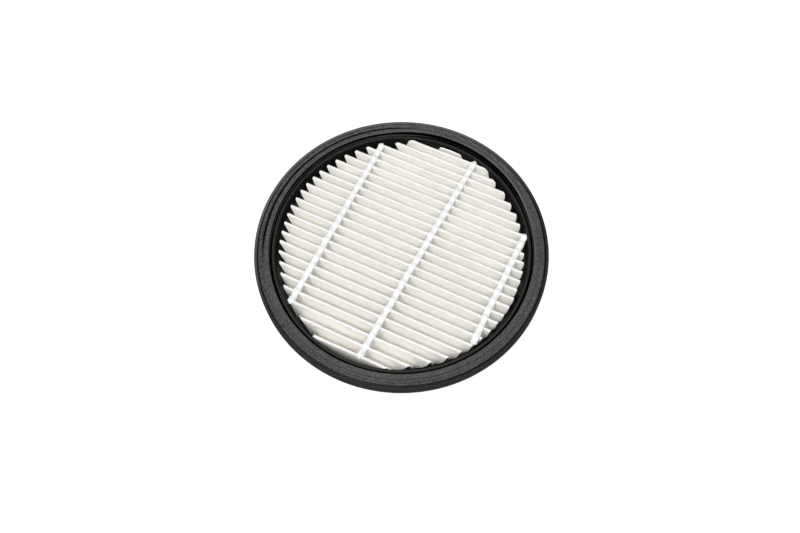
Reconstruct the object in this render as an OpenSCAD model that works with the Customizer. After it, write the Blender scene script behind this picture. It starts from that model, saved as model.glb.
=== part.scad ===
// Round pleated vacuum filter: a moulded ring with a press-in gasket, and one folded sheet of
// filter paper glued into it. Millimetres, +Z is the side with the gasket, the collar stands on z = 0.

/* [Frame] */
// Outside diameter of the flange
flange_d = 107; // [94:0.5:120]
// How far the flange stands out from the collar
flange_w = 5.4; // [5:0.1:6.4]
// Height of the collar below the flange
collar_h = 8.7; // [7:0.1:12]
// Thickness of the collar's wall
collar_t = 2; // [1.6:0.1:2.6]
// Thickness of the flange under the gasket channel
flange_t = 1.3; // [1:0.1:2]
// Height of the outer rim above the channel floor
rim_h = 2.3; // [1.5:0.1:2.6]
// Thickness of the outer rim
rim_t = 1.1; // [0.8:0.1:1.4]
// Height of the inner wall above the channel floor
wall_h = 2; // [1.6:0.1:2.4]
// Thickness of the inner wall beside the gasket
wall_t = 1.1; // [0.8:0.1:1.3]
// How far the lip that carries the pleats reaches in from the wall
lip_w = 5.1; // [4.4:0.1:7]
// Thickness of the lip
lip_t = 1.5; // [1:0.1:2]
// Radius on the moulded edges
edge_r = 0.3; // [0.1:0.05:0.35]
// Lead-in radius at the foot of the collar
foot_r = 0.6; // [0.3:0.1:1]

/* [Gasket] */
// Gap between the inner wall and the head of the gasket
head_gap = 0.7; // [0.4:0.1:0.9]
// Gap between the head of the gasket and the outer rim
rim_gap = 0.5; // [0.3:0.1:0.7]
// Height of the head's outer land above the channel floor
land_h = 3; // [2.8:0.1:3.6]
// Width of the land's flat
land_w = 0.5; // [0.4:0.05:0.6]
// Height of the inner bead above the outer land
bead_h = 0.25; // [0.1:0.05:0.4]
// Width of the inner bead
bead_w = 2; // [1.8:0.1:2.2]
// Depth of the trough between the land and the bead
trough_h = 0.3; // [0.15:0.05:0.35]
// Width of the trough's floor
trough_w = 0.7; // [0.5:0.05:0.8]
// Depth of the head at its two edges
head_h = 0.85; // [0.7:0.05:1]
// Drop of the head's underside from its edges to the neck
cheek_h = 0.35; // [0.2:0.05:0.5]
// How far the neck is set back under the head on each side
neck_in = 0.7; // [0.5:0.1:0.9]
// Height of the foot that grips the channel
foot_h = 0.6; // [0.5:0.1:0.8]
// Clearance between the foot and each side of the channel
foot_fit = 0.05; // [0:0.01:0.1]
// Radius on the gasket's inner corners
soft_r = 0.15; // [0.05:0.05:0.2]

/* [Pleats] */
// Number of crests
pleat_n = 25; // [15:1:27]
// How far the middle crests lie towards the back, with the first and the last in place
pleat_shift = 2; // [0:0.1:2.4]
// How far the crests lie below the top of the frame's inner wall
crest_gap = 0.5; // [0:0.1:2]
// Thickness of the filter paper
paper_t = 0.45; // [0.3:0.05:0.5]
// Bend radius at the middle of the paper's thickness
fold_r = 0.36; // [0.3:0.02:0.46]
// Gap between the crests' ends and the frame
end_gap = 1.4; // [1:0.1:1.8]
// How far the pleats' ends draw in from the crest down to the valley
end_taper = 1.8; // [0:0.1:2]
// Gap between the frame and the paper at the front and back of the pack
side_gap = 0.3; // [0.2:0.05:0.4]
// Depth of the front and back strips of the pack, which run on to the frame
side_strip = 3.9; // [3.5:0.1:4.2]
// Distance of the first and the last valley from the edge of the pack
fold_in = 1.2; // [1.1:0.05:1.5]
// How far the sheet's loose end at the back stays below the crests
tail_drop = 0.6; // [0:0.1:4]
// Gap between the top of the loose end and the edge of the pack
tail_gap = 0.35; // [0.2:0.05:0.45]

/* [Glue] */
// Width of a glue string
string_w = 1.9; // [1.2:0.1:2.6]
// Height of a glue string over the fold that it holds
string_rise = 0.4; // [0.2:0.05:0.6]
// How far a glue string dips between folds
string_dip = 0.4; // [0:0.05:0.8]
// How far a glue string reaches into the pack between folds
string_web = 1.5; // [1:0.1:2.5]
// Radius on the edges of a glue string
string_r = 0.5; // [0.2:0.05:0.55]
// How far a glue string runs on past the first and the last fold
string_end = 1.2; // [0.8:0.1:1.4]
// Distance of the right string from the frame's inner wall
string_in = 7.3; // [6:0.1:12]
// Distance between the glue strings
string_gap = 32; // [24:0.5:34]
// Angle at which the left and right strings lean from square to the pleats
side_string_angle = 1.5; // [0:0.5:3]
// Angle at which the middle string leans from square to the pleats
middle_string_angle = 4; // [0:0.5:5]
// Height of the cast adhesive against the frame's wall, above the lip
potting_h = 3.6; // [2:0.1:5]
// Height of the adhesive at its inner edge, above the lip
potting_edge_h = 1; // [0.6:0.1:1.6]
// How far the adhesive stays back from the edge of the lip
potting_in = 0.9; // [0.5:0.1:1.4]

/* [Hidden] */
$fn = 96;
eps = 0.01;
corner_steps = 4;
fold_steps = 5;
string_steps = 6;
potting_steps = 3;
frame_grey = [0.2, 0.2, 0.2];
gasket_grey = [0.25, 0.25, 0.25];
paper_white = [0.96, 0.95, 0.92];
glue_white = [0.95, 0.95, 0.93];
adhesive_grey = [0.3, 0.29, 0.27];

// Radii and levels of the frame
flange_rad = flange_d / 2;
collar_rad = flange_rad - flange_w;
well_rad = collar_rad - collar_t;
lip_rad = well_rad - lip_w;
wall_rad = well_rad + wall_t;
rim_rad = flange_rad - rim_t;
channel_z = collar_h + flange_t;
rim_z = channel_z + rim_h;
wall_z = channel_z + wall_h;

// Radii and levels of the gasket
head_in = wall_rad + head_gap;
head_out = rim_rad - rim_gap;
step_rad = head_in + bead_w;
foot_in = wall_rad + foot_fit;
foot_out = rim_rad - foot_fit;
neck_inner = head_in + neck_in;
neck_outer = head_out - neck_in;
land_z = channel_z + land_h;
bead_z = land_z + bead_h;
trough_z = land_z - trough_h;
head_z = land_z - head_h;
cheek_z = head_z - cheek_h;
foot_z = channel_z + foot_h;

// Levels and radii of the pleated sheet, whose lower strings rest on the lip
valley_z = lip_t + string_rise;
crest_z = wall_z - crest_gap;
tail_z = crest_z - tail_drop;
crest_end_rad = well_rad - end_gap;
root_end_rad = crest_end_rad - end_taper;
side_rad = well_rad - side_gap;
side_y = side_rad - side_strip;
outer_r = fold_r + paper_t / 2;
fold_reach = side_rad - fold_in;
mid_fold = (pleat_n - 1) / 2;

// Places of the glue strings and the adhesive
right_x = well_rad - string_in;
middle_x = right_x - string_gap;
left_x = middle_x - string_gap;
potting_rad = lip_rad + potting_in;

// A corner p1 between p0 and p2, rounded to radius r; r = 0 leaves it sharp
function corner(p0, p1, p2, r) =
    r <= 0 ? [p1] :
    let (u = (p0 - p1) / norm(p0 - p1), v = (p2 - p1) / norm(p2 - p1),
         half = acos(max(-1, min(1, u * v))) / 2,
         mid = (u + v) / norm(u + v),
         c = p1 + mid * r / sin(half),
         a = p1 + u * r / tan(half),
         b = p1 + v * r / tan(half),
         a0 = atan2(a[1] - c[1], a[0] - c[0]),
         turn = atan2(b[1] - c[1], b[0] - c[0]) - a0,
         sweep = turn > 180 ? turn - 360 : turn < -180 ? turn + 360 : turn)
    [for (i = [0:corner_steps]) c + r * [cos(a0 + sweep * i / corner_steps), sin(a0 + sweep * i / corner_steps)]];

// An outline of [x, y, corner radius] points with its corners rounded
function rounded(pts) =
    let (n = len(pts))
    [for (i = [0:n - 1])
        let (p0 = pts[(i + n - 1) % n], p1 = pts[i], p2 = pts[(i + 1) % n])
        each corner([p0[0], p0[1]], [p1[0], p1[1]], [p2[0], p2[1]], p1[2])];

// Place of crest i along the frame; i = 0 is the front crest, and half steps give the valleys
function crest_y(i) =
    let (t = 2 * (i - mid_fold) / pleat_n)
    fold_reach * t + pleat_shift * (1 - t * t);

// Fold j of the sheet as [y, z, side]: even folds are valleys and odd ones crests, front to back
function fold_centre(j) =
    j % 2 == 1 ? [crest_y((j - 1) / 2), crest_z - outer_r, 1]
               : [crest_y((j - 1) / 2), valley_z + outer_r, -1];

// Direction in which the sheet runs from fold a to fold b, whose bends turn opposite ways
function run_angle(a, b) =
    atan2(b[1] - a[1], b[0] - a[0]) - a[2] * asin(2 * fold_r / norm([b[0] - a[0], b[1] - a[1]]));

// Bend of one fold at distance r from its centre, from direction in_a to direction out_a
function bend(c, in_a, out_a, r) =
    [for (s = [0:fold_steps])
        let (a = in_a + (out_a - in_a) * s / fold_steps + 90 * c[2])
        [c[0] + r * cos(a), c[1] + r * sin(a)]];

// First and last fold: the front valley, and the back valley before the loose end
first_fold = 0;
last_fold = 2 * pleat_n;

// Direction of the loose end, which leans out until its top is tail_gap from the edge of the pack
tail_angle =
    let (c = fold_centre(last_fold))
    atan2(tail_z - c[1], side_rad - tail_gap - c[0] - outer_r);

// Directions of the sheet before and after fold j; it starts straight down at the front
function in_angle(j) = j == first_fold ? -90 : run_angle(fold_centre(j - 1), fold_centre(j));
function out_angle(j) = j == last_fold ? tail_angle : run_angle(fold_centre(j), fold_centre(j + 1));

// One face of the sheet, on its upper (side = 1) or lower (side = -1) side, front to back
function sheet_face(side) =
    [for (j = [first_fold:last_fold])
        let (c = fold_centre(j))
        each bend(c, in_angle(j), out_angle(j), fold_r + side * c[2] * paper_t / 2)];

// The loose end, which rises from the last valley
function tail_point(side) =
    let (c = fold_centre(last_fold),
         r = fold_r - side * paper_t / 2,
         foot = [c[0] + r * cos(tail_angle - 90), c[1] + r * sin(tail_angle - 90)])
    [foot[0] + (tail_z - foot[1]) / tan(tail_angle), tail_z];

// The folded sheet seen along its folds
module sheet_outline() {
    upper = concat(sheet_face(1), [tail_point(1)]);
    lower = concat(sheet_face(-1), [tail_point(-1)]);
    polygon(concat(upper, [for (i = [len(lower) - 1:-1:0]) lower[i]]));
}

// Sweeps an outline drawn in Y and Z along X, from x0 to x1
module along_x(x0, x1) {
    translate([x0, 0, 0]) rotate([90, 0, 90]) linear_extrude(x1 - x0) children();
}

// Space that the sheet is cut to: tapered all round, straight at the front and back
module pack_space() {
    top = crest_z + eps;
    rise = top - lip_t;
    slope = end_taper / (crest_z - valley_z);
    drop = slope * (valley_z - lip_t);
    translate([0, 0, lip_t])
        cylinder(h = rise, r1 = root_end_rad - drop, r2 = root_end_rad - drop + slope * rise);
    intersection() {
        translate([0, 0, lip_t]) cylinder(h = rise, r = side_rad);
        union() {
            translate([-well_rad, side_y, 0]) cube([2 * well_rad, well_rad, top]);
            translate([-well_rad, -side_y - well_rad, 0]) cube([2 * well_rad, well_rad, top]);
        }
    }
}

// Half the length of the lines that a circle of radius r cuts at distance d from its centre
function half_chord(r, d) = r > abs(d) ? sqrt(r * r - d * d) : 0;

// Numbers of the crests (first = 0) or valleys (first = -0.5) that reach under a string at x
function crossed(x, angle, r, first) =
    [for (i = [first:pleat_n - 1 - first])
        let (y = crest_y(i))
        if (half_chord(r, y) > abs(x + y * tan(angle)) + string_w / 2) i];

// Band of glue over folds a to b: it rises over each fold and reaches down between them
module string_band(a, b, level, dir) {
    n = string_steps * (b - a);
    outer = [for (s = [0:n])
        let (i = a + s / string_steps, rise = string_rise - string_dip * (1 - cos(360 * (i - a))) / 2)
        [crest_y(i), level + dir * rise]];
    front = crest_y(a) - string_end;
    back = crest_y(b) + string_end;
    inner = level - dir * string_web;
    shoulder = level + dir * (string_rise - string_dip);
    polygon(concat([[front, inner], [front, shoulder]], outer, [[back, shoulder], [back, inner]]));
}

// Bar with rounded long edges that gives a string its width and its angle
module string_bar(x, angle) {
    half = string_w / 2;
    low = -string_web - eps;
    translate([x, 0, 0]) rotate([0, 0, -angle]) rotate([90, 0, 0])
        linear_extrude(4 * well_rad, center = true)
            polygon(rounded([[-half, low, 0], [half, low, 0],
                             [half, string_rise, string_r], [-half, string_rise, string_r]]));
}

// Sweeps a string's outline across all that its bar can reach
module string_sweep(x, angle) {
    reach = string_w + well_rad * tan(angle);
    along_x(x - reach, x + reach) children();
}

// Glue string over the crests at x
module top_string(x, angle) {
    line = crossed(x, angle, crest_end_rad, 0);
    sheet_and_below = concat(sheet_face(1), [[crest_y(pleat_n), valley_z], [crest_y(-1), valley_z]]);
    intersection() {
        string_sweep(x, angle)
            difference() {
                string_band(line[0], line[len(line) - 1], crest_z, 1);
                polygon(sheet_and_below);
            }
        translate([0, 0, crest_z]) string_bar(x, angle);
    }
}

// Glue string under the valleys at x
module under_string(x, angle) {
    line = crossed(x, angle, root_end_rad, -0.5);
    sheet_and_above = concat(sheet_face(-1), [[crest_y(pleat_n), crest_z], [crest_y(-1), crest_z]]);
    intersection() {
        string_sweep(x, angle)
            difference() {
                string_band(line[0], line[len(line) - 1], valley_z, -1);
                polygon(sheet_and_above);
            }
        translate([0, 0, valley_z]) mirror([0, 0, 1]) string_bar(x, angle);
    }
}

// Moulded ring: collar with its lip, flange, and the channel between inner wall and outer rim
module frame() {
    color(frame_grey)
        rotate_extrude()
            polygon(rounded([
                [lip_rad, 0, edge_r], [collar_rad, 0, foot_r], [collar_rad, collar_h, 0],
                [flange_rad, collar_h, edge_r], [flange_rad, rim_z, edge_r],
                [rim_rad, rim_z, edge_r], [rim_rad, channel_z, 0],
                [wall_rad, channel_z, 0], [wall_rad, wall_z, edge_r],
                [well_rad, wall_z, edge_r], [well_rad, lip_t, 0], [lip_rad, lip_t, edge_r]]));
}

// Soft gasket: a foot that grips the channel, a neck, and a wide head with a land and a bead
module gasket() {
    color(gasket_grey)
        rotate_extrude()
            polygon(rounded([
                [foot_in, channel_z, 0], [foot_out, channel_z, 0], [foot_out, foot_z, soft_r],
                [neck_outer, foot_z, soft_r], [neck_outer, cheek_z, soft_r], [head_out, head_z, soft_r],
                [head_out, land_z, edge_r], [head_out - land_w, land_z, edge_r],
                [step_rad + trough_w, trough_z, edge_r], [step_rad, trough_z, 0],
                [step_rad, bead_z, soft_r], [head_in, bead_z, edge_r],
                [head_in, head_z, soft_r], [neck_inner, cheek_z, soft_r],
                [neck_inner, foot_z, soft_r], [foot_in, foot_z, soft_r]]));
}

// The sheet of filter paper, folded to and fro and cut round
module folded_sheet() {
    intersection() {
        along_x(-well_rad, well_rad) sheet_outline();
        pack_space();
    }
}

module pleated_sheet() { color(paper_white) folded_sheet(); }

// Adhesive cast round the foot of the pleats: a bed on the lip that climbs the wall
module edge_adhesive() {
    slope = [for (s = [0:potting_steps])
        let (t = s / potting_steps)
        [well_rad + (potting_rad - well_rad) * t,
         lip_t + potting_edge_h + (potting_h - potting_edge_h) * (1 - t) * (1 - t)]];
    color(adhesive_grey)
        difference() {
            rotate_extrude() polygon(concat([[potting_rad, lip_t], [well_rad, lip_t]], slope));
            folded_sheet();
            under_strings();
        }
}

module left_string_under() { under_string(left_x, side_string_angle); }
module middle_string_under() { under_string(middle_x, middle_string_angle); }
module right_string_under() { under_string(right_x, side_string_angle); }

module under_strings() {
    left_string_under();
    middle_string_under();
    right_string_under();
}

module top_string_left() { color(glue_white) top_string(left_x, side_string_angle); }
module top_string_middle() { color(glue_white) top_string(middle_x, middle_string_angle); }
module top_string_right() { color(glue_white) top_string(right_x, side_string_angle); }
module under_string_left() { color(glue_white) left_string_under(); }
module under_string_middle() { color(glue_white) middle_string_under(); }
module under_string_right() { color(glue_white) right_string_under(); }

frame();
gasket();
pleated_sheet();
edge_adhesive();
top_string_left();
top_string_middle();
top_string_right();
under_string_left();
under_string_middle();
under_string_right();
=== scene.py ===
"""The looks of a round pleated vacuum filter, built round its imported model.

Metres. +Z is the side with the gasket, the pleats run along X, and -Y is the front of the view.
"""

import math

import bpy
from mathutils import Matrix, Vector


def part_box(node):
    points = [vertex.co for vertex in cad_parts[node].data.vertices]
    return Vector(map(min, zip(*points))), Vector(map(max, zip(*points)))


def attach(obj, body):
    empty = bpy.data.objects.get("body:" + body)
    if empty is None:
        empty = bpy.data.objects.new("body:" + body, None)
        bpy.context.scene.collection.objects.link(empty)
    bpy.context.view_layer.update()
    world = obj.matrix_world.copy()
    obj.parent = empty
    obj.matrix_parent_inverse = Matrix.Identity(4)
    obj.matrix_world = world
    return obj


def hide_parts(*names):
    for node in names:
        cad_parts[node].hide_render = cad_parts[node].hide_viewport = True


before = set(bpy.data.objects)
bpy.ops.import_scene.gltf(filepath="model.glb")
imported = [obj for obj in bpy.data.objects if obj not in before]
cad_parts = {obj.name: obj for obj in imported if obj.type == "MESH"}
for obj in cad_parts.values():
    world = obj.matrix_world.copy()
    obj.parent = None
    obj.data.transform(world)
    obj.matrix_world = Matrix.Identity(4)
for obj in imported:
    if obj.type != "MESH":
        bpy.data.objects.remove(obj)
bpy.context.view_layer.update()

MM = 0.001

# The view: the camera's place is given from the middle of the picture, on the gasket's land
CAMERA_AZIMUTH = math.radians(25.62)
CAMERA_ELEVATION = math.radians(66.81)
CAMERA_ROLL = math.radians(-0.86)
CAMERA_DISTANCE = 292.73 * MM
CAMERA_TARGET = Vector((3.0, -7.6, 13.0)) * MM
CAMERA_LENS = 36.73

# The sheet of filter paper
CREST_COUNT = 25
PAPER_THICKNESS = 0.45 * MM
FOLD_RADIUS = 0.36 * MM
FOLD_REACH = 44.6 * MM
CREST_SHIFT = 2.15 * MM
CREST_END_RADIUS = 44.6 * MM
STRIP_END_RADIUS = 45.7 * MM
STRIP_START = 40.8 * MM
FRONT_STRETCH = 0.6 * MM
FRONT_CUT = 13.6 * MM
TAIL_LEAN = 0.27 * MM

# The glue strings over the crests: place on the X axis, slope, and reach to the front and back
STRING_WIDTH = 2.7 * MM
STRING_FLATNESS = 0.5
STRING_SINK = 0.3 * MM
STRING_SAG = 0.3 * MM
STRING_LEFT = (-26.0 * MM, 0.026, -36.2 * MM, 37.2 * MM)
STRING_MIDDLE = (7.2 * MM, 0.070, -44.2 * MM, 44.9 * MM)
STRING_RIGHT = (38.4 * MM, 0.026, -23.0 * MM, 24.0 * MM)

# The frame's rim, outside the soft ring, whose top gets a painted sheen at the back left
RIM_RADIUS = 52.2 * MM
RIM_LEVEL = 12.3 * MM

# The soft ring: where the painted shade in its crevice lies, where the painted shade on its inner edge starts, and
# how far that painted shade widens at the back
CREVICE_RADIUS = 50.12 * MM
RING_EDGE_RADIUS = 48.05 * MM
RING_EDGE_SHADE_WIDENING = 0.55 * MM

sheet_low, sheet_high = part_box("pleated_sheet")
VALLEY_LEVEL = sheet_low.z
CREST_LEVEL = sheet_high.z


class Signal:
    """One output in a node tree. Sums, products and powers of signals add Math nodes."""

    def __init__(self, graph, socket):
        self.graph = graph
        self.socket = socket

    def __add__(self, other):
        return self.graph.math("ADD", self, other)

    def __sub__(self, other):
        return self.graph.math("SUBTRACT", self, other)

    def __rsub__(self, other):
        return self.graph.math("SUBTRACT", other, self)

    def __mul__(self, other):
        return self.graph.math("MULTIPLY", self, other)

    def __truediv__(self, other):
        return self.graph.math("DIVIDE", self, other)

    def __rtruediv__(self, other):
        return self.graph.math("DIVIDE", other, self)

    def __pow__(self, other):
        return self.graph.math("POWER", self, other)

    __radd__ = __add__
    __rmul__ = __mul__


class Graph:
    """A node tree that is written as calls and expressions."""

    def __init__(self, tree):
        self.tree = tree
        self.tree.nodes.clear()

    def node(self, kind, sockets=None, stops=None, **settings):
        """Adds a node: its settings and ramp stops come first, then its sockets' values or links."""
        made = self.tree.nodes.new(kind)
        made.location = (200 * (len(self.tree.nodes) % 12), -220 * (len(self.tree.nodes) // 12))
        for name, value in settings.items():
            setattr(made, name, value)
        if stops:
            ramp = made.color_ramp.elements
            while len(ramp) < len(stops):
                ramp.new(1.0)
            for element, (place, colour) in zip(ramp, stops):
                element.position = place
                element.color = colour
        for name, value in (sockets or {}).items():
            if isinstance(value, Signal):
                self.tree.links.new(value.socket, made.inputs[name])
            else:
                made.inputs[name].default_value = value
        return made

    def get(self, kind, output, sockets=None, **settings):
        """Adds a node and returns one of its outputs as a signal."""
        return Signal(self, self.node(kind, sockets, **settings).outputs[output])

    def math(self, operation, *values, clamp=False):
        return self.get("ShaderNodeMath", 0, dict(enumerate(values)), operation=operation, use_clamp=clamp)

    def vector(self, x, y, z):
        return self.get("ShaderNodeCombineXYZ", 0, {0: x, 1: y, 2: z})

    def split(self, vector):
        """The X, Y and Z of a vector, as three signals."""
        made = self.node("ShaderNodeSeparateXYZ", {0: vector})
        return [Signal(self, output) for output in made.outputs]

    def spread(self, value, low, high, to_low=0.0, to_high=1.0, smooth=False):
        """Takes a range of a value to another range, held at its two ends."""
        kind = "SMOOTHSTEP" if smooth else "LINEAR"
        sockets = {"Value": value, "From Min": low, "From Max": high, "To Min": to_low, "To Max": to_high}
        return self.get("ShaderNodeMapRange", "Result", sockets, interpolation_type=kind)


class Tree(Graph):
    """A geometry tree with named inputs, which makes one finished piece."""

    def __init__(self, name, finish, inputs):
        super().__init__(bpy.data.node_groups.new(name, "GeometryNodeTree"))
        self.name = name
        self.finish = finish
        self.values = {}
        self.tree.interface.new_socket("Geometry", in_out="OUTPUT", socket_type="NodeSocketGeometry")
        for label, value in inputs.items():
            kind = "NodeSocketInt" if isinstance(value, int) else "NodeSocketFloat"
            socket = self.tree.interface.new_socket(label, in_out="INPUT", socket_type=kind)
            self.values[socket.identifier] = value
        entry = self.node("NodeGroupInput")
        self.inputs = {output.name: Signal(self, output) for output in entry.outputs if output.name}

    def __getitem__(self, label):
        return self.inputs[label]

    def move(self, geometry, position):
        return self.get("GeometryNodeSetPosition", 0, {"Geometry": geometry, "Position": position})

    def noise(self, vector, scale, detail=0.0):
        """Smooth noise from -1 to 1."""
        sockets = {"Vector": vector, "Scale": scale, "Detail": detail}
        return self.get("ShaderNodeTexNoise", 0, sockets) * 2.0 - 1.0

    def make(self, geometry, thickness=0.0):
        """Ends the tree and returns its result as a plain mesh object."""
        real = self.get("GeometryNodeRealizeInstances", 0, {"Geometry": geometry})
        done = self.get("GeometryNodeSetMaterial", 0, {"Geometry": real, "Material": self.finish})
        self.node("NodeGroupOutput", {"Geometry": done})
        source = bpy.data.objects.new(self.name + "_source", bpy.data.meshes.new(self.name + "_source"))
        bpy.context.scene.collection.objects.link(source)
        modifier = source.modifiers.new("tree", "NODES")
        modifier.node_group = self.tree
        for identifier, value in self.values.items():
            modifier[identifier] = value
        if thickness:
            wall = source.modifiers.new("wall", "SOLIDIFY")
            wall.thickness = thickness
            wall.offset = 0.0
        bpy.context.view_layer.update()
        evaluated = source.evaluated_get(bpy.context.evaluated_depsgraph_get())
        mesh = bpy.data.meshes.new_from_object(evaluated)
        bpy.data.objects.remove(source)
        piece = bpy.data.objects.new(self.name, mesh)
        bpy.context.scene.collection.objects.link(piece)
        return piece


def smooth(piece, angle):
    """Shades a piece smooth, with the edges sharper than the angle left as edges."""
    piece.data.shade_smooth()
    piece.data.set_sharp_from_angle(angle=angle)


def new_finish(name):
    material = bpy.data.materials.new(name)
    material.use_nodes = True
    return material, Graph(material.node_tree)


def plain_surface(graph, colour, roughness, height, depth, **fixed):
    """Ends a finish: a Principled surface with its bump, and fixed numbers on its own sockets."""
    normal = graph.get("ShaderNodeBump", 0, {"Height": height, "Distance": depth, "Strength": 1.0})
    sockets = {"Base Color": colour, "Roughness": roughness, "Normal": normal}
    sockets.update({name.replace("_", " "): value for name, value in fixed.items()})
    surface = graph.get("ShaderNodeBsdfPrincipled", 0, sockets)
    graph.node("ShaderNodeOutputMaterial", {"Surface": surface})


def azimuth_gap(graph, x, y, middle):
    """Angle between a place and an azimuth, in radians, from 0 to pi."""
    turned = graph.math("ARCTAN2", y, x) - middle
    return graph.math("ABSOLUTE", graph.math("ARCTAN2", graph.math("SINE", turned), graph.math("COSINE", turned)))


def moulded_black():
    """Black moulding with a fine spark-eroded grain, and a painted sheen that greys the rim's top at the back left.
    """
    material, graph = new_finish("moulded_black")
    place = graph.get("ShaderNodeTexCoord", "Object")
    grain = graph.get("ShaderNodeTexNoise", 0, {"Vector": place, "Scale": 2600.0, "Detail": 2.0})
    cloud = graph.get("ShaderNodeTexNoise", 0, {"Vector": place, "Scale": 90.0, "Detail": 3.0})
    tone = graph.spread(grain * 0.8 + cloud * 0.2, 0.3, 0.7)
    plain = graph.get("ShaderNodeMix", 2, {0: tone, 6: (0.008, 0.008, 0.0075, 1), 7: (0.018, 0.0175, 0.0165, 1)},
                      data_type="RGBA")
    x, y, z = graph.split(place)
    radius = graph.math("SQRT", x * x + y * y)
    # Painted sheen: the rim's top is coloured lighter at the back left, where light would glance off it.
    rim_painted_sheen = (graph.spread(radius, RIM_RADIUS, RIM_RADIUS + 0.2 * MM)
           * graph.spread(z, RIM_LEVEL - 0.4 * MM, RIM_LEVEL - 0.1 * MM)
           * graph.spread(azimuth_gap(graph, x, y, math.radians(140)), math.radians(50), math.radians(95), 1.0, 0.0))
    colour = graph.get("ShaderNodeMix", 2, {0: rim_painted_sheen, 6: plain, 7: (0.085, 0.083, 0.080, 1)}, data_type="RGBA")
    roughness = graph.spread(cloud, 0.35, 0.65, 0.42, 0.56)
    plain_surface(graph, colour, roughness, grain, 0.03 * MM, Specular_IOR_Level=0.12)
    return material


def soft_black():
    """Soft black ring with a fine matt speckle, painted shade in its crevice at the left back, painted shade on its
    inner edge that widens at the back, and a painted highlight just outside that edge.
    """
    material, graph = new_finish("soft_black")
    place = graph.get("ShaderNodeTexCoord", "Object")
    grain = graph.get("ShaderNodeTexNoise", 0, {"Vector": place, "Scale": 1900.0, "Detail": 3.0})
    cloud = graph.get("ShaderNodeTexNoise", 0, {"Vector": place, "Scale": 60.0, "Detail": 3.0})
    tone = graph.spread(grain * 0.8 + cloud * 0.2, 0.36, 0.66)
    plain = graph.get("ShaderNodeMix", 2, {0: tone, 6: (0.012, 0.0118, 0.011, 1), 7: (0.088, 0.086, 0.083, 1)},
                      data_type="RGBA")

    x, y, _ = graph.split(place)
    radius = graph.math("SQRT", x * x + y * y)
    wander = (cloud - 0.5) * 0.5 * MM
    away = graph.math("ABSOLUTE", radius + wander - CREVICE_RADIUS)
    left_back = azimuth_gap(graph, x, y, math.radians(160))
    # Painted shade: a dark line along the crevice, only at the left back.
    crevice_painted_shade = (graph.spread(away, 0.32 * MM, 0.66 * MM, 1.0, 0.0, smooth=True)
               * graph.spread(left_back, math.radians(38), math.radians(58), 1.0, 0.0, smooth=True))
    # Painted shade: the inner edge and the wall below it are painted black, in a band that widens at the back.
    from_back = azimuth_gap(graph, x, y, math.radians(80))
    edge_shade_widening = graph.spread(from_back, math.radians(15), math.radians(45), RING_EDGE_SHADE_WIDENING, 0.0, smooth=True)
    inside = RING_EDGE_RADIUS + edge_shade_widening - radius
    edge_painted_shade = graph.spread(inside, -0.05 * MM, 0.15 * MM, smooth=True)
    # Painted highlight: a lighter line just outside the inner edge at the back.
    painted_highlight = (graph.spread(graph.math("ABSOLUTE", inside + 0.3 * MM), 0.1 * MM, 0.35 * MM, 1.0, 0.0, smooth=True)
           * graph.spread(from_back, math.radians(30), math.radians(70), 1.0, 0.0, smooth=True))
    with_painted_highlight = graph.get("ShaderNodeMix", 2, {0: painted_highlight * 0.8, 6: plain, 7: (0.10, 0.098, 0.094, 1)}, data_type="RGBA")
    # All painted shade: near-black base colour and full metallic, so these places reflect almost nothing.
    painted_shade = graph.math("MAXIMUM", crevice_painted_shade, edge_painted_shade)
    colour = graph.get("ShaderNodeMix", 2, {0: painted_shade * 0.95, 6: with_painted_highlight, 7: (0.0015, 0.0015, 0.0015, 1)},
                       data_type="RGBA")
    roughness = graph.math("MAXIMUM", graph.spread(cloud, 0.35, 0.65, 0.55, 0.68), painted_shade)
    plain_surface(graph, colour, roughness, grain, 0.05 * MM, Specular_IOR_Level=0.25, Metallic=painted_shade)
    return material


def filter_paper():
    """White nonwoven paper with fine fibres, a faint mottle, and painted shade that greys the crest tops."""
    material, graph = new_finish("filter_paper")
    place = graph.get("ShaderNodeTexCoord", "Object")
    fibre = graph.get("ShaderNodeTexNoise", 0, {"Vector": place, "Scale": 1500.0, "Detail": 4.0})
    mottle = graph.get("ShaderNodeTexNoise", 0, {"Vector": place, "Scale": 220.0, "Detail": 4.0})
    tone = graph.spread(mottle * 0.6 + fibre * 0.4, 0.35, 0.65)
    faces = graph.get("ShaderNodeMix", 2, {0: tone, 6: (0.88, 0.86, 0.81, 1), 7: (0.93, 0.915, 0.875, 1)},
                      data_type="RGBA")
    _, _, height = graph.split(place)
    # Painted shade: the crest tops are coloured greyer, to hold back the light that falls on them.
    crest = graph.spread(height, CREST_LEVEL - 0.6 * MM, CREST_LEVEL - 0.1 * MM, smooth=True)
    colour = graph.get("ShaderNodeMix", 2, {0: crest, 6: faces, 7: (0.745, 0.74, 0.725, 1)}, data_type="RGBA")
    roughness = graph.spread(mottle, 0.3, 0.7, 0.85, 0.95)
    plain_surface(graph, colour, roughness, fibre, 0.04 * MM)
    return material


def glue_white():
    """Set hot-melt: off-white and a little waxy."""
    material, graph = new_finish("glue_white")
    place = graph.get("ShaderNodeTexCoord", "Object")
    swell = graph.get("ShaderNodeTexNoise", 0, {"Vector": place, "Scale": 500.0, "Detail": 2.0})
    tone = graph.spread(swell, 0.35, 0.65)
    colour = graph.get("ShaderNodeMix", 2, {0: tone, 6: (0.69, 0.70, 0.69, 1), 7: (0.74, 0.75, 0.74, 1)},
                       data_type="RGBA")
    roughness = graph.spread(swell, 0.3, 0.7, 0.34, 0.5)
    plain_surface(graph, colour, roughness, swell, 0.06 * MM)
    return material


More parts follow.
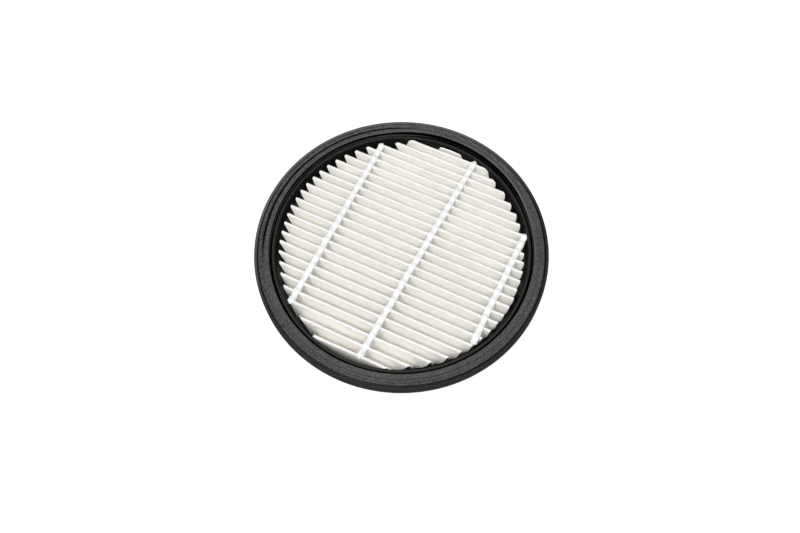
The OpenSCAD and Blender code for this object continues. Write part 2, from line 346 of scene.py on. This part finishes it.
def cast_adhesive():
    """Dark cast adhesive with a grey-brown bloom where dust has settled."""
    material, graph = new_finish("cast_adhesive")
    place = graph.get("ShaderNodeTexCoord", "Object")
    bloom = graph.get("ShaderNodeTexNoise", 0, {"Vector": place, "Scale": 160.0, "Detail": 4.0})
    tone = graph.spread(bloom, 0.42, 0.62)
    colour = graph.get("ShaderNodeMix", 2, {0: tone, 6: (0.010, 0.010, 0.009, 1), 7: (0.060, 0.056, 0.048, 1)},
                       data_type="RGBA")
    roughness = graph.spread(tone, 0.0, 1.0, 0.35, 0.7)
    plain_surface(graph, colour, roughness, bloom, 0.1 * MM, Specular_IOR_Level=0.25)
    return material


def fold_level(tree, fold):
    """Height of a fold's centre: even folds are valleys, odd ones are crests."""
    crest = tree.math("MODULO", fold + 2.0, 2.0)
    centre = tree["Paper thickness"] / 2.0 + tree["Fold radius"]
    return (tree["Valley level"] + centre) * (1.0 - crest) + (tree["Crest level"] - centre) * crest


def fold_place(tree, fold):
    """Place of a fold from front to back: evenly set, with the middle ones pushed to the back."""
    along = (fold - tree["Crests"]) / tree["Crests"]
    even = tree["Fold reach"] * along + tree["Crest shift"] * (1.0 - along * along)
    near_front = tree.spread(fold, 3.0, 6.0, 1.0, 0.0, smooth=True) * tree.math("GREATER_THAN", fold, 0.5)
    stretched = even - tree["Front stretch"] * near_front
    after_last = tree.math("GREATER_THAN", fold, tree["Crests"] * 2.0 + 0.5)
    tail = tree["Fold reach"] + tree["Fold radius"] * 2.0 + tree["Tail lean"]
    return stretched * (1.0 - after_last) + tail * after_last


def run_angle(tree, fold, place, level, next_place, next_level):
    """Direction of the flat stretch from a fold to the next, which bend opposite ways."""
    across = next_place - place
    up = next_level - level
    side = tree.math("MODULO", fold + 2.0, 2.0) * 2.0 - 1.0
    length = tree.math("SQRT", across * across + up * up)
    lean = tree.math("ARCSINE", tree["Fold radius"] * 2.0 / length)
    return tree.math("ARCTAN2", up, across) - side * lean


def pleated_sheet(finish):
    """The one sheet of paper: a grid whose rows are bent to and fro and whose ends are cut round."""
    bend_steps = 7
    run_steps = 3
    row_count = (2 * CREST_COUNT + 1) * (bend_steps + run_steps) + 1
    tree = Tree("filter_paper", finish, {
        "Crests": CREST_COUNT,
        "Valley level": VALLEY_LEVEL,
        "Crest level": CREST_LEVEL,
        "Fold reach": FOLD_REACH,
        "Crest shift": CREST_SHIFT,
        "Fold radius": FOLD_RADIUS,
        "Paper thickness": PAPER_THICKNESS,
        "Front stretch": FRONT_STRETCH,
        "Front cut": FRONT_CUT,
        "Flap narrowing": 0.38,
        "Tail lean": TAIL_LEAN,
        "End radius": CREST_END_RADIUS,
        "Strip end radius": STRIP_END_RADIUS,
        "Strip start": STRIP_START,
        "Left taper": 3.0 * MM,
        "Right taper": 2.6 * MM,
        "Waviness": 0.20 * MM,
        "Ragged ends": 0.35 * MM,
        "Seed": 3,
    })
    grid = tree.get("GeometryNodeMeshGrid", 0, {"Size X": 1.0, "Size Y": 1.0, "Vertices X": 64,
                                                "Vertices Y": row_count})
    spot = tree.get("GeometryNodeInputPosition", 0)
    across, along, _ = tree.split(spot)
    row = tree.math("ROUND", (along + 0.5) * (row_count - 1.0))
    per_fold = float(bend_steps + run_steps)
    fold = tree.math("FLOOR", (row + 0.25) / per_fold)
    step = row - fold * per_fold
    bend = tree.math("MINIMUM", step / (bend_steps - 1.0), 1.0)
    run = tree.math("MAXIMUM", (step - (bend_steps - 1.0)) / (run_steps + 1.0), 0.0)

    places = [fold_place(tree, fold + shift) for shift in (-1.0, 0.0, 1.0)]
    levels = [fold_level(tree, fold + shift) for shift in (-1.0, 0.0, 1.0)]
    side = tree.math("MODULO", fold + 2.0, 2.0) * 2.0 - 1.0
    way_in = run_angle(tree, fold - 1.0, places[0], levels[0], places[1], levels[1])
    way_out = run_angle(tree, fold, places[1], levels[1], places[2], levels[2])
    quarter = math.pi / 2
    angle = way_in + (way_out - way_in) * bend + side * quarter
    next_angle = way_out - side * quarter
    radius = tree["Fold radius"]
    bend_y = places[1] + radius * tree.math("COSINE", angle)
    bend_z = levels[1] + radius * tree.math("SINE", angle)
    next_y = places[2] + radius * tree.math("COSINE", next_angle)
    next_z = levels[2] + radius * tree.math("SINE", next_angle)
    y = bend_y + (next_y - bend_y) * run
    z = bend_z + (next_z - bend_z) * run

    height = tree.spread(z, tree["Valley level"], tree["Crest level"])
    depth = 1.0 - height
    pleat = tree.math("FLOOR", (fold + 0.25) / 2.0)
    ragged_left = tree.noise(tree.vector(pleat * 7.3, 11.0, tree["Seed"]), 1.0) * tree["Ragged ends"]
    ragged_right = tree.noise(tree.vector(pleat * 7.3, 37.0, tree["Seed"]), 1.0) * tree["Ragged ends"]
    strip = tree.spread(tree.math("ABSOLUTE", y), tree["Strip start"], tree["Strip start"] + 1.0 * MM, smooth=True)
    end = tree["End radius"] + (tree["Strip end radius"] - tree["End radius"]) * strip
    left_taper = tree["Left taper"] * tree.spread(y, -34.0 * MM, -18.0 * MM, 0.2, 1.0, smooth=True)
    left_radius = end - (left_taper * depth - ragged_left) * (1.0 - strip)
    right_radius = end - (tree["Right taper"] * depth ** 3.0 - ragged_right) * (1.0 - strip)
    left = tree.math("SQRT", tree.math("MAXIMUM", left_radius * left_radius - y * y, 0.0))
    right = tree.math("SQRT", tree.math("MAXIMUM", right_radius * right_radius - y * y, 0.0))
    front = tree.math("LESS_THAN", fold, 1.5)
    left = left + (tree.math("MINIMUM", left, tree["Front cut"]) - left) * front
    tail = tree.math("GREATER_THAN", fold, tree["Crests"] * 2.0 - 0.5)
    narrow = 1.0 - tail * height * tree["Flap narrowing"]
    x = ((across + 0.5) * (left + right) - left) * narrow

    wave = tree.noise(tree.vector(x * 45.0, pleat * 5.7, tree["Seed"]), 1.0) * height
    lift = tree.noise(tree.vector(x * 60.0, pleat * 3.1 + 50.0, tree["Seed"]), 1.0) * height
    bow = tree.noise(tree.vector(x * 80.0, fold * 2.3, z * 90.0), 1.0) * height * depth * 4.0
    y = y + (wave + bow) * tree["Waviness"]
    hump = across * across * tail * height * height
    z = z + (lift - hump * 16.0) * tree["Waviness"] * 0.5
    moved = tree.move(grid, tree.vector(x, y, z))
    piece = tree.make(moved, PAPER_THICKNESS)
    smooth(piece, math.radians(50))
    return piece


def crest_share(tree, place):
    """1 at the crests, 0 at the valleys, for a place from front to back."""
    shift = tree["Crest shift"]
    reach = tree["Fold reach"]
    root = tree.math("SQRT", reach * reach - 4.0 * shift * (place - shift))
    fold = ((reach - root) / (2.0 * shift) + 1.0) * tree["Crests"]
    return tree.math("COSINE", (fold - 1.0) * math.pi) * 0.5 + 0.5


def glue_string(name, finish, place, slope, front, back, level, rise):
    """A flat bead of glue along a course over the folds, which sags and thins between them."""
    tree = Tree(name, finish, {
        "Crests": CREST_COUNT,
        "Fold reach": FOLD_REACH,
        "Crest shift": CREST_SHIFT,
        "Place": place,
        "Slope": slope,
        "Front": front,
        "Back": back,
        "Level": level,
        "Rise": rise,
        "Width": STRING_WIDTH,
        "Flatness": STRING_FLATNESS,
        "Waver": 0.3 * MM,
        "Seed": 5,
    })
    count = int((back - front) / (0.3 * MM))
    line = tree.get("GeometryNodeMeshLine", 0, {"Count": count}, mode="OFFSET")
    along = tree.get("GeometryNodeInputIndex", 0) / (count - 1.0)
    y = tree["Front"] + (tree["Back"] - tree["Front"]) * along
    crest = crest_share(tree, y)
    waver = tree.noise(tree.vector(y * 60.0, 3.0, tree["Seed"]), 1.0)
    x = tree["Place"] + y * tree["Slope"] + waver * tree["Waver"]
    lift = tree.noise(tree.vector(y * 240.0, 9.0, tree["Seed"]), 1.0) * 0.35
    z = tree["Level"] + tree["Rise"] * (crest + lift - 1.0)
    moved = tree.move(line, tree.vector(x, y, z))
    curve = tree.get("GeometryNodeMeshToCurve", 0, {"Mesh": moved})
    upright = tree.get("GeometryNodeSetCurveNormal", 0, {"Curve": curve}, mode="Z_UP")
    round_ring = tree.get("GeometryNodeCurvePrimitiveCircle", 0, {"Resolution": 16, "Radius": 1.0}, mode="RADIUS")
    ring = tree.get("GeometryNodeTransform", 0,
                    {"Geometry": round_ring, "Scale": tree.vector(1.0, tree["Flatness"], 1.0)})
    swell = 0.88 + crest * 0.12 + tree.noise(tree.vector(y * 250.0, 21.0, tree["Seed"]), 1.0) * 0.13
    ends = tree.spread(tree.math("MINIMUM", along, 1.0 - along), 0.0, 0.012, 0.35, 1.0, smooth=True)
    bead = tree.get("GeometryNodeCurveToMesh", 0, {"Curve": upright, "Profile Curve": ring, "Fill Caps": True,
                                                   "Scale": tree["Width"] / 2.0 * swell * ends})
    piece = tree.make(bead)
    smooth(piece, math.radians(60))
    return piece


def camera():
    """The photograph's camera, placed by its angles about the point that it looks at."""
    lens = bpy.data.cameras.new("camera")
    lens.lens = CAMERA_LENS
    lens.clip_start = 10 * MM
    made = bpy.data.objects.new("camera", lens)
    turn = (Matrix.Rotation(CAMERA_AZIMUTH, 4, "Z")
            @ Matrix.Rotation(math.pi / 2 - CAMERA_ELEVATION, 4, "X")
            @ Matrix.Rotation(CAMERA_ROLL, 4, "Z"))
    back = turn.to_3x3() @ Vector((0, 0, CAMERA_DISTANCE))
    made.matrix_world = Matrix.Translation(CAMERA_TARGET + back) @ turn
    bpy.context.scene.collection.objects.link(made)
    bpy.context.scene.camera = made


def lamp(name, azimuth, elevation, distance, size, power):
    """A soft box at an angle round the object, facing it."""
    light = bpy.data.lights.new(name, "AREA")
    light.shape = "DISK"
    light.size = size
    light.energy = power
    made = bpy.data.objects.new(name, light)
    turn = Matrix.Rotation(math.radians(azimuth), 4, "Z") @ Matrix.Rotation(math.radians(90 - elevation), 4, "X")
    made.matrix_world = turn @ Matrix.Translation((0, 0, distance))
    bpy.context.scene.collection.objects.link(made)


def studio():
    """A pale floor that is white to the camera, and soft light from above, the left and the right."""
    material, graph = new_finish("pale_floor")
    seen = Signal(graph, graph.node("ShaderNodeLightPath").outputs["Is Camera Ray"])
    matt = graph.get("ShaderNodeBsdfDiffuse", 0, {"Color": (0.28, 0.28, 0.28, 1)})
    x, y, _ = graph.split(graph.get("ShaderNodeTexCoord", "Object"))
    reach = graph.math("SQRT", x * x + y * y)
    glow = graph.get("ShaderNodeEmission", 0, {
        "Color": (1, 1, 1, 1), "Strength": seen * graph.spread(reach, 0.15, 0.5, 0.86, 1.0, smooth=True)})
    surface = graph.get("ShaderNodeAddShader", 0, {0: matt, 1: glow})
    graph.node("ShaderNodeOutputMaterial", {"Surface": surface})
    bpy.ops.mesh.primitive_plane_add(size=6.0, location=(0, 0, 0))
    floor = bpy.context.object
    floor.name = "floor"
    floor.data.materials.append(material)

    world = bpy.data.worlds.new("studio")
    world.use_nodes = True
    bpy.context.scene.world = world
    graph = Graph(world.node_tree)
    seen = Signal(graph, graph.node("ShaderNodeLightPath").outputs["Is Camera Ray"])
    sky = graph.get("ShaderNodeBackground", 0, {"Color": (1, 1, 1, 1), "Strength": seen * 0.97 + 0.03})
    graph.node("ShaderNodeOutputWorld", {"Surface": sky})

    lamp("top_box", 220, 82, 0.9, 0.7, 5.4)
    lamp("left_box", -40, 56, 0.9, 0.45, 4.2)
    lamp("right_box", 60, 56, 0.9, 0.45, 3.0)


def dress(node, material):
    """Gives a node of the frame its finish."""
    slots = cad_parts[node].material_slots
    for slot in slots:
        slot.material = material


bpy.context.scene.view_settings.view_transform = "Standard"
camera()
studio()
black = moulded_black()
rubber = soft_black()
paper = filter_paper()
glue = glue_white()
adhesive = cast_adhesive()
dress("frame", black)
dress("gasket", rubber)
dress("edge_adhesive", adhesive)

sheet = pleated_sheet(paper)
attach(sheet, "root")
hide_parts("pleated_sheet")

strings = {"left": STRING_LEFT, "middle": STRING_MIDDLE, "right": STRING_RIGHT}
for side, (place, slope, front, back) in strings.items():
    under_low, under_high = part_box("under_string_" + side)
    beads = {
        "top": glue_string("glue_top_" + side, glue, place, slope, front, back,
                           CREST_LEVEL - STRING_SINK, STRING_SAG),
        "under": glue_string("glue_under_" + side, glue, place, slope, under_low.y, under_high.y,
                             VALLEY_LEVEL + STRING_SINK, 0.0),
    }
    for face, bead in beads.items():
        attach(bead, "root")
        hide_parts(face + "_string_" + side)
